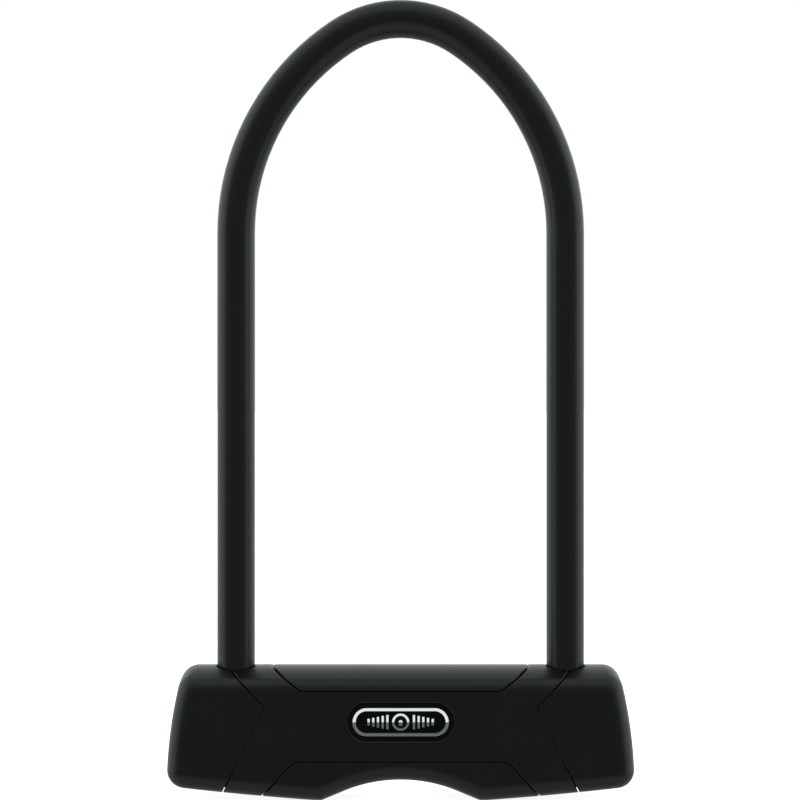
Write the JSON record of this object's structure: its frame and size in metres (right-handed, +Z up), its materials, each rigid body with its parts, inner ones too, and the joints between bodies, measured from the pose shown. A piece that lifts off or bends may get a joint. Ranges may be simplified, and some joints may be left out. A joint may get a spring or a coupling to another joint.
{
  "type": "u lock",
  "caption": "Bicycle U lock: a vinyl-coated round steel shackle held at both legs by a black crossbar with a disc cylinder underneath.",
  "frame": {"origin": "centre of the underside of the object's box, midway between the legs and between front and back", "axes": "+X along the crossbar, +Y towards the back of the crossbar, +Z up the shackle's legs"},
  "size_m": [0.1704, 0.032, 0.2932],
  "materials": {
    "black_shell": "fine soft-touch matt black moulding",
    "black_vinyl": "smooth satin black vinyl skin",
    "hardened_steel": "ground and hardened steel",
    "case_steel": "phosphated steel tube",
    "cast_zinc": "as-cast alloy",
    "pin_steel": "bright drawn steel",
    "stainless": "turned stainless steel",
    "brass": "machined brass",
    "badge_chrome": "bright chrome plate",
    "badge_black": "gloss black",
    "seal_rubber": "matt rubber"
  },
  "bodies": {
    "crossbar": {"case_tube": "case_steel", "leg_socket_left": "cast_zinc", "leg_socket_right": "cast_zinc", "socket_pins": "pin_steel", "leg_seals": "seal_rubber", "cylinder_housing": "brass", "cylinder_pin": "pin_steel", "front_shell": "black_shell", "back_shell": "black_shell", "end_cap_left": "black_shell", "end_cap_right": "black_shell", "top_trim": "black_shell", "bottom_trim": "black_shell", "keyhole_escutcheon": "stainless", "badge_plate": "badge_black", "badge_bezel": "badge_chrome", "badge_emblem": "badge_chrome"},
    "shackle": {"shackle_core": "hardened_steel", "shackle_coating": "black_vinyl"},
    "cylinder_core": {"keyhole_face": "stainless", "shutter_frame": "brass", "shutter_pin": "pin_steel", "shutter_spring": "pin_steel", "drill_guard": "hardened_steel", "detainer_discs": "brass", "disc_spacers": "brass", "sidebar": "pin_steel", "cylinder_plug": "brass", "plug_clip": "pin_steel", "drive_cam": "hardened_steel"},
    "bolt_left_body": {"bolt_left": "hardened_steel", "bolt_pin_left": "pin_steel"},
    "bolt_right_body": {"bolt_right": "hardened_steel", "bolt_pin_right": "pin_steel"},
    "shutter_body": {"keyhole_shutter": "stainless"}
  },
  "joints": [
    {"name": "shackle_lift", "type": "slide", "parent": "crossbar", "child": "shackle", "axis": [0, 0, 1], "range_m": [0, 0.08]},
    {"name": "plug_turn", "type": "hinge", "parent": "crossbar", "child": "cylinder_core", "pos_m": [0, 0, 0.02], "axis": [0, 0, 1], "range_deg": [0, 120]},
    {"name": "bolt_left_slide", "type": "slide", "parent": "crossbar", "child": "bolt_left_body", "axis": [-1, 0, 0], "range_m": [0, 0.0054]},
    {"name": "bolt_right_slide", "type": "slide", "parent": "crossbar", "child": "bolt_right_body", "axis": [1, 0, 0], "range_m": [0, 0.0054]},
    {"name": "shutter_swing", "type": "hinge", "parent": "cylinder_core", "child": "shutter_body", "pos_m": [-0.00175, 0, 0.01195], "axis": [0, -1, 0], "range_deg": [0, 80], "stiffness_Nm_per_rad": 0.0001, "springref_deg": -28.65}
  ],
  "couplings": [
    {"joint": "plug_turn", "follows": "bolt_left_slide", "rad_per_m": 387.85},
    {"joint": "bolt_right_slide", "follows": "bolt_left_slide", "ratio": 1}
  ]
}
